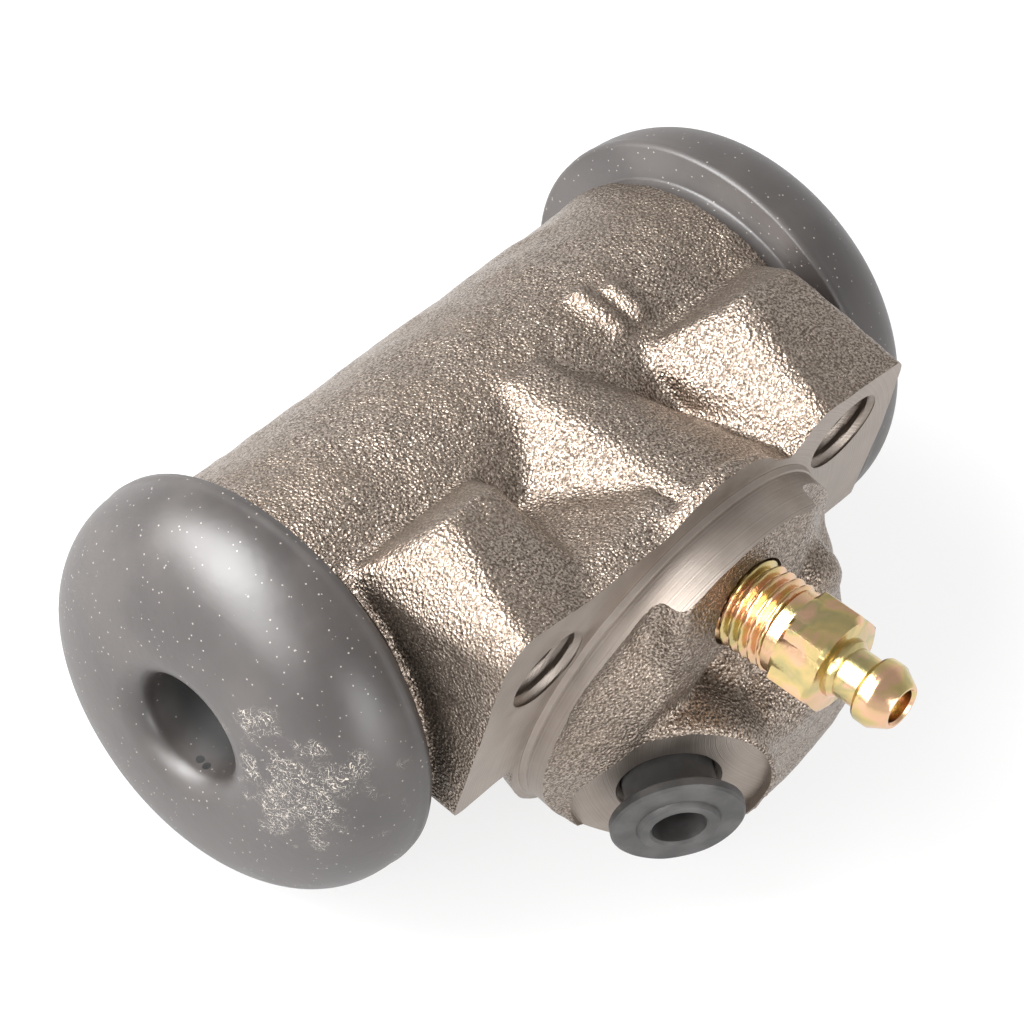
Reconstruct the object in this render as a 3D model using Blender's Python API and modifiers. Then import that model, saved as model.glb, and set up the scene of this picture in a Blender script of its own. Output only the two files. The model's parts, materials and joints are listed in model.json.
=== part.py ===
"""Wheel cylinder of a drum brake: a cast body with two opposed pistons.

Metres, +Z up. The origin is the centre of the round pilot, on the machined face that bolts to
the backing plate. +X runs along the bore, -Y points out of the mounting face, and +Z points to
the bleeder's side of the casting.
"""

import math

import bmesh
import bpy
from mathutils import Matrix, Vector

# Clearance between pieces that touch
GAP = 0.0003

# Bore and barrel
BORE_DIAMETER = 0.0286
BARREL_DIAMETER = 0.0424
BARREL_LENGTH = 0.0695
BARREL_EDGE = 0.0006
FACE_TO_BORE = 0.0260
PILOT_RISE = 0.0033
SPIGOT_DIAMETER = 0.0376
SPIGOT_LENGTH = 0.0043
GROOVE_DEPTH = 0.0011
GROOVE_WIDTH = 0.0018

# Pilot that centres the casting in the backing plate
PILOT_DIAMETER = 0.0463
PILOT_BAND = 0.0030

# Ears and their tapped bolt holes
BOLT_SPACING = 0.0496
BOLT_RISE = 0.0154
BOLT_HOLE_DIAMETER = 0.0103
BOLT_HOLE_DEPTH = 0.0145
EAR_REACH = 0.0338
EAR_TOP = 0.0254
EAR_TOP_LEAN = 0.16
EAR_FOOT = 0.0042
EAR_INNER = 0.0178
EAR_FLANK_RUN = 0.0040
EAR_CORNER = 0.0030
EAR_DEPTH = 0.0170
EAR_TOP_DRAFT = 0.07

# Web that carries the bleed passage over the barrel
WEB_BASE_DIAMETER = 0.0496
WEB_TIP_DIAMETER = 0.0366
WEB_LENGTH = 0.0260

# Two raised foundry marks on the barrel
MARK_LENGTHS = (0.0078, 0.0056)
MARK_WIDTH = 0.0017
MARK_HEIGHT = 0.0006
MARK_PLACE = 0.0137
MARK_PITCH = 0.0038

# Filling between the left ear and the web
FILL_TOP = 0.0248
FILL_LIP = 0.0025
FILL_DEPTH = 0.0100
FILL_START = -0.0220
FILL_END = -0.0040

# Tower behind the plate: a cone, an inlet boss, a solid core beside it and a small knob
TOWER_LENGTH = 0.0170
TOWER_SPREAD = 1.40
TOWER_DROP = 0.0040
CORE_TIP_DIAMETER = 0.0270
CORE_BASE_DIAMETER = 0.0510
CORE_REACH = 0.0168
CORE_EDGE = 0.0040
CORE_PLACE = (0.0075, -0.0110)
KNOB_DIAMETER = 0.0110
KNOB_REACH = 0.0100
KNOB_EDGE = 0.0025
KNOB_PLACE = (0.0138, 0.0032)
BOSS_DIAMETER = 0.0240
BOSS_DROP = 0.0100
BOSS_ANGLE = math.radians(36.9)
SPOT_FACE_REACH = 0.0137
SPOT_FACE_DIAMETER = 0.0226
SPOT_FACE_STOCK = 0.0004
PORT_DIAMETER = 0.0114
PORT_DEPTH = 0.0100
PASSAGE_DIAMETER = 0.0032

# Bleeder boss and bleeder screw
BLEEDER_TILT = math.radians(10.0)
BLEEDER_RISE = 0.0127
BLEEDER_BOSS_DIAMETER = 0.0246
BLEEDER_BOSS_REACH = 0.0073
BLEEDER_BOSS_EDGE = 0.0012
BLEEDER_FACE_DIAMETER = 0.0170
BLEEDER_HOLE_DEPTH = 0.0125
BLEEDER_THREAD_DIAMETER = 0.0105
BLEEDER_THREAD_SHOWN = 0.0066
BLEEDER_RELIEF_DIAMETER = 0.0098
BLEEDER_RELIEF_LENGTH = 0.0012
BLEEDER_SEAT_DIAMETER = 0.0064
BLEEDER_SEAT_LENGTH = 0.0036
BLEEDER_HEX_FLATS = 0.0111
BLEEDER_HEX_LENGTH = 0.0058
BLEEDER_HEX_EDGE = 0.0005
BLEEDER_HEX_TURN = math.radians(7.0)
BLEEDER_COLLAR_DIAMETER = 0.0070
BLEEDER_COLLAR_LENGTH = 0.0008
BLEEDER_NECK_DIAMETER = 0.0060
BLEEDER_NECK_LENGTH = 0.0039
BLEEDER_BARB_DIAMETER = 0.0078
BLEEDER_BARB_LENGTH = 0.0018
BLEEDER_TAPER_LENGTH = 0.0025
BLEEDER_TIP_DIAMETER = 0.0052
BLEEDER_MOUTH_DIAMETER = 0.0041
BLEEDER_MOUTH_DEPTH = 0.0030
BLEEDER_BORE_DIAMETER = 0.0026
BLEEDER_CROSS_HOLE_DIAMETER = 0.0018

# Boots
BOOT_RIM_DIAMETER = 0.0500
BOOT_RIM_WIDTH = 0.0014
BOOT_NECK_DIAMETER = 0.0410
BOOT_NECK_LENGTH = 0.0022
BOOT_DOME_DIAMETER = 0.0494
BOOT_DOME_HEIGHT = 0.0114
BOOT_DOME_SQUARENESS = 2.3
BOOT_CREST_DIAMETER = 0.0190
BOOT_WALL = 0.0020
DIMPLE_DIAMETER = 0.0140
DIMPLE_DEPTH = 0.0110
DIMPLE_LIP = 0.0012

# Pistons, cups, expanders and spring
PISTON_LENGTH = 0.0190
PISTON_SOCKET_DIAMETER = 0.0118
PISTON_SOCKET_DEPTH = 0.0020
PISTON_EDGE = 0.0008
CUP_LENGTH = 0.0066
CUP_LIP = 0.0010
CUP_WALL = 0.0026
CUP_FLOOR = 0.0026
EXPANDER_CLEARANCE = 0.0009
EXPANDER_THICKNESS = 0.0008
EXPANDER_CONE_DIAMETER = 0.0140
EXPANDER_CONE_LENGTH = 0.0022
SPRING_WIRE_DIAMETER = 0.0012
SPRING_DIAMETER = 0.0190
SPRING_TURNS = 6

# Shipping plug in the inlet port
PLUG_STEM_DIAMETER = 0.0104
PLUG_STEM_LENGTH = 0.0070
PLUG_BEAD_WIDTH = 0.0020
PLUG_STAND_OFF = 0.0038
PLUG_FLANGE_DIAMETER = 0.0152
PLUG_FLANGE_THICKNESS = 0.0016
PLUG_RING_DIAMETER = 0.0095
PLUG_RING_HEIGHT = 0.0005
PLUG_HOLE_DIAMETER = 0.0062
PLUG_HOLE_DEPTH = 0.0075

# Places that follow from the sizes above
BORE_AXIS = Vector((0.0, FACE_TO_BORE, -PILOT_RISE))
BARREL_END = BARREL_LENGTH / 2
BORE_END = BARREL_END + SPIGOT_LENGTH
GROOVE_FAR = BORE_END - SPIGOT_LENGTH / 4
GROOVE_NEAR = GROOVE_FAR - GROOVE_WIDTH
BOOT_RIM_BACK = BARREL_END + BOOT_NECK_LENGTH
BOOT_DOME_BASE = BOOT_RIM_BACK + BOOT_RIM_WIDTH
BOOT_CREST = BOOT_DOME_BASE + BOOT_DOME_HEIGHT
DIMPLE_FLOOR = BOOT_CREST - DIMPLE_DEPTH
PISTON_OUTER = DIMPLE_FLOOR - BOOT_WALL - GAP + PISTON_SOCKET_DEPTH
PISTON_INNER = PISTON_OUTER - PISTON_LENGTH
CUP_OUTER = PISTON_INNER - GAP
CUP_INNER = CUP_OUTER - CUP_LENGTH
EXPANDER_FACE = CUP_INNER - GAP
SPRING_END = EXPANDER_FACE - EXPANDER_THICKNESS - GAP
BOSS_CENTRE = Vector((0.0, 0.0, -BOSS_DROP))
INLET_DIRECTION = Vector((-math.sin(BOSS_ANGLE), -math.cos(BOSS_ANGLE), 0.0))
BLEEDER_CENTRE = Vector((0.0, 0.0, BLEEDER_RISE))
BLEEDER_DIRECTION = Vector((0.0, -math.cos(BLEEDER_TILT), math.sin(BLEEDER_TILT)))
OUT_OF_FACE = Vector((0.0, -1.0, 0.0))
ALONG_BORE = Vector((1.0, 0.0, 0.0))
OVERRUN = 0.0020


def clear_scene():
    for obj in list(bpy.data.objects):
        bpy.data.objects.remove(obj, do_unlink=True)


def new_collection(name):
    collection = bpy.data.collections.new(name)
    bpy.context.scene.collection.children.link(collection)
    return collection


def new_material(name, color, roughness, metallic):
    material = bpy.data.materials.new(name)
    material.use_nodes = True
    shader = material.node_tree.nodes["Principled BSDF"]
    shader.inputs["Base Color"].default_value = (*color, 1.0)
    shader.inputs["Roughness"].default_value = roughness
    shader.inputs["Metallic"].default_value = metallic
    return material


clear_scene()
PIECES = new_collection("wheel_cylinder")
CUTTERS = new_collection("wheel_cylinder_cutters")
CAST_IRON = new_material("cast_iron", (0.27, 0.23, 0.20), 0.45, 0.9)
BOOT_RUBBER = new_material("boot_rubber", (0.075, 0.07, 0.07), 0.55, 0.0)
CUP_RUBBER = new_material("cup_rubber", (0.02, 0.02, 0.022), 0.5, 0.0)
PLUG_RUBBER = new_material("plug_rubber", (0.04, 0.04, 0.042), 0.5, 0.0)
ALUMINIUM = new_material("aluminium", (0.62, 0.63, 0.65), 0.35, 1.0)
SPRING_STEEL = new_material("spring_steel", (0.45, 0.45, 0.46), 0.3, 1.0)
YELLOW_ZINC = new_material("yellow_zinc", (0.72, 0.60, 0.33), 0.3, 1.0)


def new_object(name, mesh, material=None):
    """An object of the part, or a cutter where it has no material."""
    obj = bpy.data.objects.new(name, mesh)
    if material:
        PIECES.objects.link(obj)
        mesh.materials.append(material)
    else:
        CUTTERS.objects.link(obj)
        obj.hide_render = True
        obj.display_type = "WIRE"
    return obj


def aimed(obj, centre, direction):
    """Turn the object's own Z axis to a direction and put its origin at a point."""
    turn = direction.to_track_quat("Z", "Y").to_matrix().to_4x4()
    obj.matrix_world = Matrix.Translation(centre) @ turn
    return obj


def turned(name, profile, material=None, steps=36):
    """Turn (radius, height) points about Z. The outer side of the profile runs top to bottom."""
    mesh = bpy.data.meshes.new(name)
    points = [(radius, 0.0, height) for radius, height in profile]
    mesh.from_pydata(points, [(i, i + 1) for i in range(len(points) - 1)], [])
    obj = new_object(name, mesh, material)
    screw = obj.modifiers.new("turn", "SCREW")
    screw.steps = steps
    screw.render_steps = steps
    screw.use_merge_vertices = True
    screw.merge_threshold = 0.00001
    return obj


def arc(centre, radius, start, end, count):
    """Points on an arc in a profile or an outline, with its angles in degrees."""
    angles = [math.radians(start + (end - start) * i / (count - 1)) for i in range(count)]
    return [(centre[0] + radius * math.cos(a), centre[1] + radius * math.sin(a)) for a in angles]


def drum(name, diameter, bottom, top, tip_diameter=None, edge=0.0, steps=36):
    """A cylinder or cone between two heights on Z, with a rounded upper edge."""
    tip = (tip_diameter or diameter) / 2
    rim = arc((tip - edge, top - edge), edge, 90, 0, 4) if edge else [(tip, top)]
    return turned(name, [(0.0, top), *rim, (diameter / 2, bottom), (0.0, bottom)], steps=steps)


def prism(name, outline, start, end, along):
    """Extrude a flat outline between two places on X or on Y. Its points are (other axis, Z)."""
    mesh = bpy.data.meshes.new(name)
    shape = bmesh.new()
    if along == "X":
        corners = [shape.verts.new((start, u, v)) for u, v in outline]
        travel = (end - start, 0.0, 0.0)
    else:
        corners = [shape.verts.new((u, start, v)) for u, v in outline]
        travel = (0.0, end - start, 0.0)
    face = shape.faces.new(corners)
    moved = bmesh.ops.extrude_face_region(shape, geom=[face])["geom"]
    far_side = [item for item in moved if isinstance(item, bmesh.types.BMVert)]
    bmesh.ops.translate(shape, verts=far_side, vec=travel)
    bmesh.ops.recalc_face_normals(shape, faces=shape.faces)
    shape.to_mesh(mesh)
    shape.free()
    return new_object(name, mesh)


def combine(obj, others, operation):
    """Union, intersect or cut an object with a group of others in one step."""
    group = bpy.data.collections.new(f"{obj.name} {operation.lower()}")
    CUTTERS.children.link(group)
    for other in others:
        CUTTERS.objects.unlink(other)
        group.objects.link(other)
    modifier = obj.modifiers.new(operation.lower(), "BOOLEAN")
    modifier.operation = operation
    modifier.solver = "EXACT"
    modifier.operand_type = "COLLECTION"
    modifier.collection = group
    obj.modifiers.new("merge points", "WELD").merge_threshold = 0.00002
    return obj


def rounded(corner, before, after, radius, count=5):
    """Points of the curve that replaces one corner of an outline."""
    corner, before, after = Vector(corner), Vector(before), Vector(after)
    start = corner + (before - corner).normalized() * radius
    end = corner + (after - corner).normalized() * radius
    steps = (i / (count - 1) for i in range(count))
    return [tuple(start * (1 - t) ** 2 + corner * 2 * t * (1 - t) + end * t**2) for t in steps]


def make_barrel():
    """The tube of the bore, with a turned spigot and groove at each end for the boots."""
    outer = BARREL_DIAMETER / 2
    spigot = SPIGOT_DIAMETER / 2
    half = [
        (0.0, BORE_END),
        (spigot - BARREL_EDGE, BORE_END),
        (spigot, BORE_END - BARREL_EDGE),
        (spigot, GROOVE_FAR),
        (spigot - GROOVE_DEPTH, GROOVE_FAR),
        (spigot - GROOVE_DEPTH, GROOVE_NEAR),
        (spigot, GROOVE_NEAR),
        (spigot, BARREL_END),
        (outer - BARREL_EDGE, BARREL_END),
        (outer, BARREL_END - BARREL_EDGE),
    ]
    profile = half + [(radius, -height) for radius, height in reversed(half)]
    return aimed(turned("cylinder_body", profile, CAST_IRON, 60), BORE_AXIS, ALONG_BORE)


def make_ear(side):
    """One ear: its outline on the mounting face, crossed with its section towards the barrel."""
    name = "ear_right" if side > 0 else "ear_left"
    outer = side * EAR_REACH
    inner = side * EAR_INNER
    foot = side * (EAR_INNER - EAR_FLANK_RUN)
    lean = EAR_TOP_LEAN * side
    top_outer = (outer, EAR_TOP - lean * (EAR_REACH - BOLT_SPACING / 2))
    top_inner = (inner, EAR_TOP - lean * (EAR_INNER - BOLT_SPACING / 2))
    low_outer = (outer, -EAR_FOOT)
    flank_foot = (foot, EAR_TOP - EAR_FLANK_RUN * 1.5)
    outline = [
        (foot, -EAR_FOOT),
        low_outer,
        *rounded(top_outer, low_outer, top_inner, EAR_CORNER),
        *rounded(top_inner, top_outer, flank_foot, EAR_CORNER / 3),
        flank_foot,
    ]
    ear = prism(name, outline, 0.0, FACE_TO_BORE, "Y")
    crest = max(top_outer[1], top_inner[1])
    front = (0.0, crest - EAR_TOP_DRAFT * EAR_DEPTH)
    back = (EAR_DEPTH, crest)
    behind = (EAR_DEPTH + (crest - BOLT_RISE) / 2, BOLT_RISE)
    section = [
        (0.0, -EAR_FOOT),
        front,
        *rounded(back, front, behind, EAR_CORNER),
        behind,
        (FACE_TO_BORE, 0.0),
        (FACE_TO_BORE / 3, -2 * EAR_FOOT),
    ]
    cross = prism(f"{name}_section", section, -2 * EAR_REACH, 2 * EAR_REACH, "X")
    return combine(ear, [cross], "INTERSECT")


def make_fill():
    """The low saddle of metal between the left ear and the web."""
    section = [
        (0.0, BOLT_RISE - FILL_LIP),
        (0.0, FILL_TOP),
        (FILL_LIP, FILL_TOP - FILL_LIP / 6),
        (FILL_DEPTH, BOLT_RISE),
        (FILL_DEPTH, BOLT_RISE - FILL_LIP),
    ]
    return prism("fill", section, FILL_START, FILL_END, "X")


def make_marks():
    """Two raised bars that lie round the barrel's top, side by side."""
    marks = []
    for index, length in enumerate(MARK_LENGTHS):
        spread = math.degrees(length / BARREL_DIAMETER)
        radius = BARREL_DIAMETER / 2
        middle = (FACE_TO_BORE, -PILOT_RISE)
        top = arc(middle, radius + MARK_HEIGHT, 87 + 0.8 * spread, 87 - 0.8 * spread, 7)
        low = arc(middle, radius - MARK_HEIGHT, 87 - spread, 87 + spread, 7)
        place = MARK_PLACE + index * MARK_PITCH
        marks.append(prism(f"mark_{index}", top + low, place, place + MARK_WIDTH, "X"))
    return marks


def make_tower():
    """The casting in front of the mounting face, all of it within the pilot's diameter."""
    base = PILOT_DIAMETER + 2 * TOWER_SPREAD * PILOT_BAND
    tip = base - 2 * TOWER_SPREAD * TOWER_LENGTH
    cone = drum("tower_cone", base, -1.5 * OVERRUN, TOWER_LENGTH, tip)
    aimed(cone, Vector((0.0, 0.0, -TOWER_DROP)), OUT_OF_FACE)
    band = drum("pilot_band", PILOT_DIAMETER + 2 * OVERRUN, -1.2 * OVERRUN, PILOT_BAND)
    aimed(band, Vector(), OUT_OF_FACE)
    core = drum(
        "core", CORE_BASE_DIAMETER, -0.8 * OVERRUN, CORE_REACH, CORE_TIP_DIAMETER, CORE_EDGE
    )
    aimed(core, Vector((CORE_PLACE[0], 0.0, CORE_PLACE[1])), OUT_OF_FACE)
    knob = drum("knob", KNOB_DIAMETER, -0.6 * OVERRUN, KNOB_REACH, edge=KNOB_EDGE, steps=24)
    aimed(knob, Vector((KNOB_PLACE[0], 0.0, KNOB_PLACE[1])), OUT_OF_FACE)
    reach = SPOT_FACE_REACH + SPOT_FACE_STOCK
    inlet = drum("inlet_boss", BOSS_DIAMETER, -OVERRUN, reach, edge=SPOT_FACE_STOCK)
    aimed(inlet, BOSS_CENTRE, INLET_DIRECTION)
    bleeder = drum(
        "bleeder_boss", BLEEDER_BOSS_DIAMETER, -OVERRUN, BLEEDER_BOSS_REACH, edge=BLEEDER_BOSS_EDGE
    )
    aimed(bleeder, BLEEDER_CENTRE, BLEEDER_DIRECTION)
    pilot = drum("pilot", PILOT_DIAMETER, -OVERRUN, 2 * TOWER_LENGTH, steps=60)
    aimed(pilot, Vector(), OUT_OF_FACE)
    combine(cone, [band, core, knob, inlet, bleeder], "UNION")
    return combine(cone, [pilot], "INTERSECT")


def make_cuts():
    """The bore, the tapped holes, the inlet port with its spot face, and the two passages."""
    bore = drum("bore", BORE_DIAMETER, -BORE_END - OVERRUN, BORE_END + OVERRUN, steps=48)
    cuts = [aimed(bore, BORE_AXIS, ALONG_BORE)]
    for side in (-1, 1):
        hole = drum(f"bolt_hole_{side}", BOLT_HOLE_DIAMETER, -BOLT_HOLE_DEPTH, OVERRUN, steps=32)
        centre = Vector((side * BOLT_SPACING / 2, 0.0, BOLT_RISE))
        cuts.append(aimed(hole, centre, OUT_OF_FACE))
    face = drum("spot_face", SPOT_FACE_DIAMETER, SPOT_FACE_REACH, 2 * SPOT_FACE_REACH)
    cuts.append(aimed(face, BOSS_CENTRE, INLET_DIRECTION))
    port_floor = SPOT_FACE_REACH - PORT_DEPTH
    port = drum("port", PORT_DIAMETER, port_floor, SPOT_FACE_REACH + OVERRUN, steps=32)
    cuts.append(aimed(port, BOSS_CENTRE, INLET_DIRECTION))
    inlet = drum("inlet_passage", PASSAGE_DIAMETER, -FACE_TO_BORE, 0.0, steps=20)
    cuts.append(aimed(inlet, BOSS_CENTRE + INLET_DIRECTION * (port_floor + OVERRUN), OUT_OF_FACE))
    top = 4 * BLEEDER_BOSS_REACH
    seat = drum("bleeder_face", BLEEDER_FACE_DIAMETER, BLEEDER_BOSS_REACH, top)
    cuts.append(aimed(seat, BLEEDER_CENTRE, BLEEDER_DIRECTION))
    floor = BLEEDER_BOSS_REACH - BLEEDER_HOLE_DEPTH
    width = BLEEDER_THREAD_DIAMETER + 2 * GAP
    tapped = drum("bleeder_hole", width, floor, BLEEDER_BOSS_REACH + OVERRUN, steps=28)
    cuts.append(aimed(tapped, BLEEDER_CENTRE, BLEEDER_DIRECTION))
    bleed = drum("bleed_passage", PASSAGE_DIAMETER, -FACE_TO_BORE, floor + OVERRUN, steps=20)
    cuts.append(aimed(bleed, BLEEDER_CENTRE, BLEEDER_DIRECTION))
    return cuts


def make_body():
    body = make_barrel()
    web = drum("web", WEB_BASE_DIAMETER, 0.0, WEB_LENGTH, WEB_TIP_DIAMETER)
    aimed(web, Vector(), -OUT_OF_FACE)
    grown = [web, make_ear(-1), make_ear(1), make_fill(), make_tower(), *make_marks()]
    combine(body, grown, "UNION")
    return combine(body, make_cuts(), "DIFFERENCE")


def boot_side(crest, mouth, mouth_height, floor, base, base_height, count):
    """Half of a boot's section, from the dimple's floor over the crest to the dome's foot."""
    angles = [math.pi / 2 * i / count for i in range(count + 1)]
    lip = (crest[0] - mouth, crest[1] - mouth_height)
    power = 2 / BOOT_DOME_SQUARENESS
    dimple = [
        (mouth * math.sin(a), mouth_height - (mouth_height - floor) * math.cos(a))
        for a in angles[:-1]
    ]
    edge = [(crest[0] - lip[0] * math.cos(a), mouth_height + lip[1] * math.sin(a)) for a in angles]
    dome = [
        (
            crest[0] + (base - crest[0]) * math.sin(a) ** power,
            base_height + (crest[1] - base_height) * math.cos(a) ** power,
        )
        for a in angles[1:]
    ]
    return dimple + edge + dome


def make_boot(side):
    """A closed rubber boot: a domed cup with a dimple for the push rod, a thin rim and a neck."""
    crest = BOOT_CREST_DIAMETER / 2
    mouth = DIMPLE_DIAMETER / 2
    mouth_height = BOOT_CREST - DIMPLE_LIP
    dome = BOOT_DOME_DIAMETER / 2
    rim = BOOT_RIM_DIAMETER / 2
    neck = BOOT_NECK_DIAMETER / 2
    inside = SPIGOT_DIAMETER / 2 + GAP
    bead = inside - GROOVE_DEPTH
    outer = boot_side(
        (crest, BOOT_CREST), mouth, mouth_height, DIMPLE_FLOOR, dome, BOOT_DOME_BASE, 6
    )
    inner = boot_side(
        (crest + BOOT_WALL / 2, BOOT_CREST - BOOT_WALL),
        mouth + BOOT_WALL,
        mouth_height - BOOT_WALL / 2,
        DIMPLE_FLOOR - BOOT_WALL,
        dome - BOOT_WALL,
        BOOT_DOME_BASE + BOOT_WALL / 4,
        4,
    )
    foot = [
        (rim - BOOT_RIM_WIDTH / 3, BOOT_DOME_BASE),
        (rim, BOOT_DOME_BASE - BOOT_RIM_WIDTH / 3),
        (rim, BOOT_RIM_BACK),
        (neck, BOOT_RIM_BACK),
        (neck, BARREL_END + GAP),
        (inside, BARREL_END + GAP),
        (inside, GROOVE_NEAR + GAP),
        (bead, GROOVE_NEAR + GAP),
        (bead, GROOVE_FAR - GAP),
        (inside, GROOVE_FAR - GAP),
        (inside, BOOT_DOME_BASE),
    ]
    name = "boot_right" if side > 0 else "boot_left"
    boot = turned(name, outer + foot + inner[::-1], BOOT_RUBBER, 40)
    return aimed(boot, BORE_AXIS, side * ALONG_BORE)


def make_piston(side):
    """A plain turned piston with a shallow socket that the boot's dimple sits in."""
    radius = BORE_DIAMETER / 2 - GAP
    socket = PISTON_SOCKET_DIAMETER / 2
    profile = [
        (0.0, PISTON_OUTER - PISTON_SOCKET_DEPTH),
        (socket, PISTON_OUTER - PISTON_SOCKET_DEPTH),
        (socket, PISTON_OUTER),
        (radius - PISTON_EDGE, PISTON_OUTER),
        (radius, PISTON_OUTER - PISTON_EDGE),
        (radius, PISTON_INNER + PISTON_EDGE),
        (radius - PISTON_EDGE, PISTON_INNER),
        (0.0, PISTON_INNER),
    ]
    name = "piston_right" if side > 0 else "piston_left"
    return aimed(turned(name, profile, ALUMINIUM), BORE_AXIS, side * ALONG_BORE)


def make_cup(side):
    """A rubber cup seal whose lip faces the fluid in the middle of the bore."""
    radius = BORE_DIAMETER / 2 - GAP
    profile = [
        (0.0, CUP_OUTER),
        (radius, CUP_OUTER),
        (radius, CUP_INNER),
        (radius - CUP_LIP, CUP_INNER),
        (radius - CUP_WALL, CUP_OUTER - CUP_FLOOR),
        (0.0, CUP_OUTER - CUP_FLOOR),
    ]
    name = "cup_right" if side > 0 else "cup_left"
    return aimed(turned(name, profile, CUP_RUBBER), BORE_AXIS, side * ALONG_BORE)


def make_expander(side):
    """A pressed steel disc between spring and cup, with a raised centre inside the cup."""
    radius = BORE_DIAMETER / 2 - EXPANDER_CLEARANCE
    cone = EXPANDER_CONE_DIAMETER / 2
    flat = cone - EXPANDER_CONE_LENGTH / 2
    top = EXPANDER_FACE + EXPANDER_CONE_LENGTH
    profile = [
        (0.0, top),
        (flat, top),
        (cone, EXPANDER_FACE),
        (radius, EXPANDER_FACE),
        (radius, EXPANDER_FACE - EXPANDER_THICKNESS),
        (cone - EXPANDER_THICKNESS / 2, EXPANDER_FACE - EXPANDER_THICKNESS),
        (flat - EXPANDER_THICKNESS / 2, top - EXPANDER_THICKNESS),
        (0.0, top - EXPANDER_THICKNESS),
    ]
    name = "expander_right" if side > 0 else "expander_left"
    return aimed(turned(name, profile, SPRING_STEEL), BORE_AXIS, side * ALONG_BORE)


def make_spring():
    """A round-wire compression spring with a closed coil at each end."""
    points_per_turn = 12
    count = SPRING_TURNS * points_per_turn
    reach = SPRING_END - SPRING_WIRE_DIAMETER / 2
    closed = SPRING_WIRE_DIAMETER * 1.15
    open_turns = SPRING_TURNS - 2
    open_pitch = (2 * reach - 2 * closed) / open_turns
    curve = bpy.data.curves.new("return_spring", "CURVE")
    curve.dimensions = "3D"
    curve.bevel_depth = SPRING_WIRE_DIAMETER / 2
    curve.bevel_resolution = 2
    curve.use_fill_caps = True
    spline = curve.splines.new("POLY")
    spline.points.add(count)
    for index, point in enumerate(spline.points):
        turns = index / points_per_turn
        angle = 2 * math.pi * turns
        first = min(turns, 1.0) * closed
        middle = min(max(turns - 1.0, 0.0), open_turns) * open_pitch
        last = max(turns - 1.0 - open_turns, 0.0) * closed
        radius = SPRING_DIAMETER / 2
        along = -reach + first + middle + last
        point.co = (radius * math.cos(angle), radius * math.sin(angle), along, 1.0)
    curve.materials.append(SPRING_STEEL)
    spring = bpy.data.objects.new("return_spring", curve)
    spring.modifiers.new("close ends", "WELD").merge_threshold = 0.00002
    PIECES.objects.link(spring)
    return aimed(spring, BORE_AXIS, ALONG_BORE)


def make_hexagon(bottom, top):
    """The bleeder's hexagon, with its corners turned off at both ends."""
    mesh = bpy.data.meshes.new("bleeder_hexagon")
    shape = bmesh.new()
    radius = BLEEDER_HEX_FLATS / math.sqrt(3)
    middle = Matrix.Translation((0.0, 0.0, (bottom + top) / 2))
    turn = Matrix.Rotation(BLEEDER_HEX_TURN, 4, "Z")
    depth = top - bottom + 2 * BLEEDER_HEX_EDGE
    bmesh.ops.create_cone(
        shape,
        cap_ends=True,
        segments=6,
        radius1=radius,
        radius2=radius,
        depth=depth,
        matrix=middle @ turn,
    )
    shape.to_mesh(mesh)
    shape.free()
    hexagon = aimed(new_object("bleeder_hexagon", mesh), BLEEDER_CENTRE, BLEEDER_DIRECTION)
    inner = BLEEDER_HEX_FLATS / 2
    profile = [
        (0.0, top),
        (inner, top),
        (radius, top - BLEEDER_HEX_EDGE),
        (radius, bottom + BLEEDER_HEX_EDGE),
        (inner, bottom),
        (0.0, bottom),
    ]
    round_off = turned("bleeder_hexagon_turning", profile)
    aimed(round_off, BLEEDER_CENTRE, BLEEDER_DIRECTION)
    return combine(hexagon, [round_off], "INTERSECT")


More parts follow.
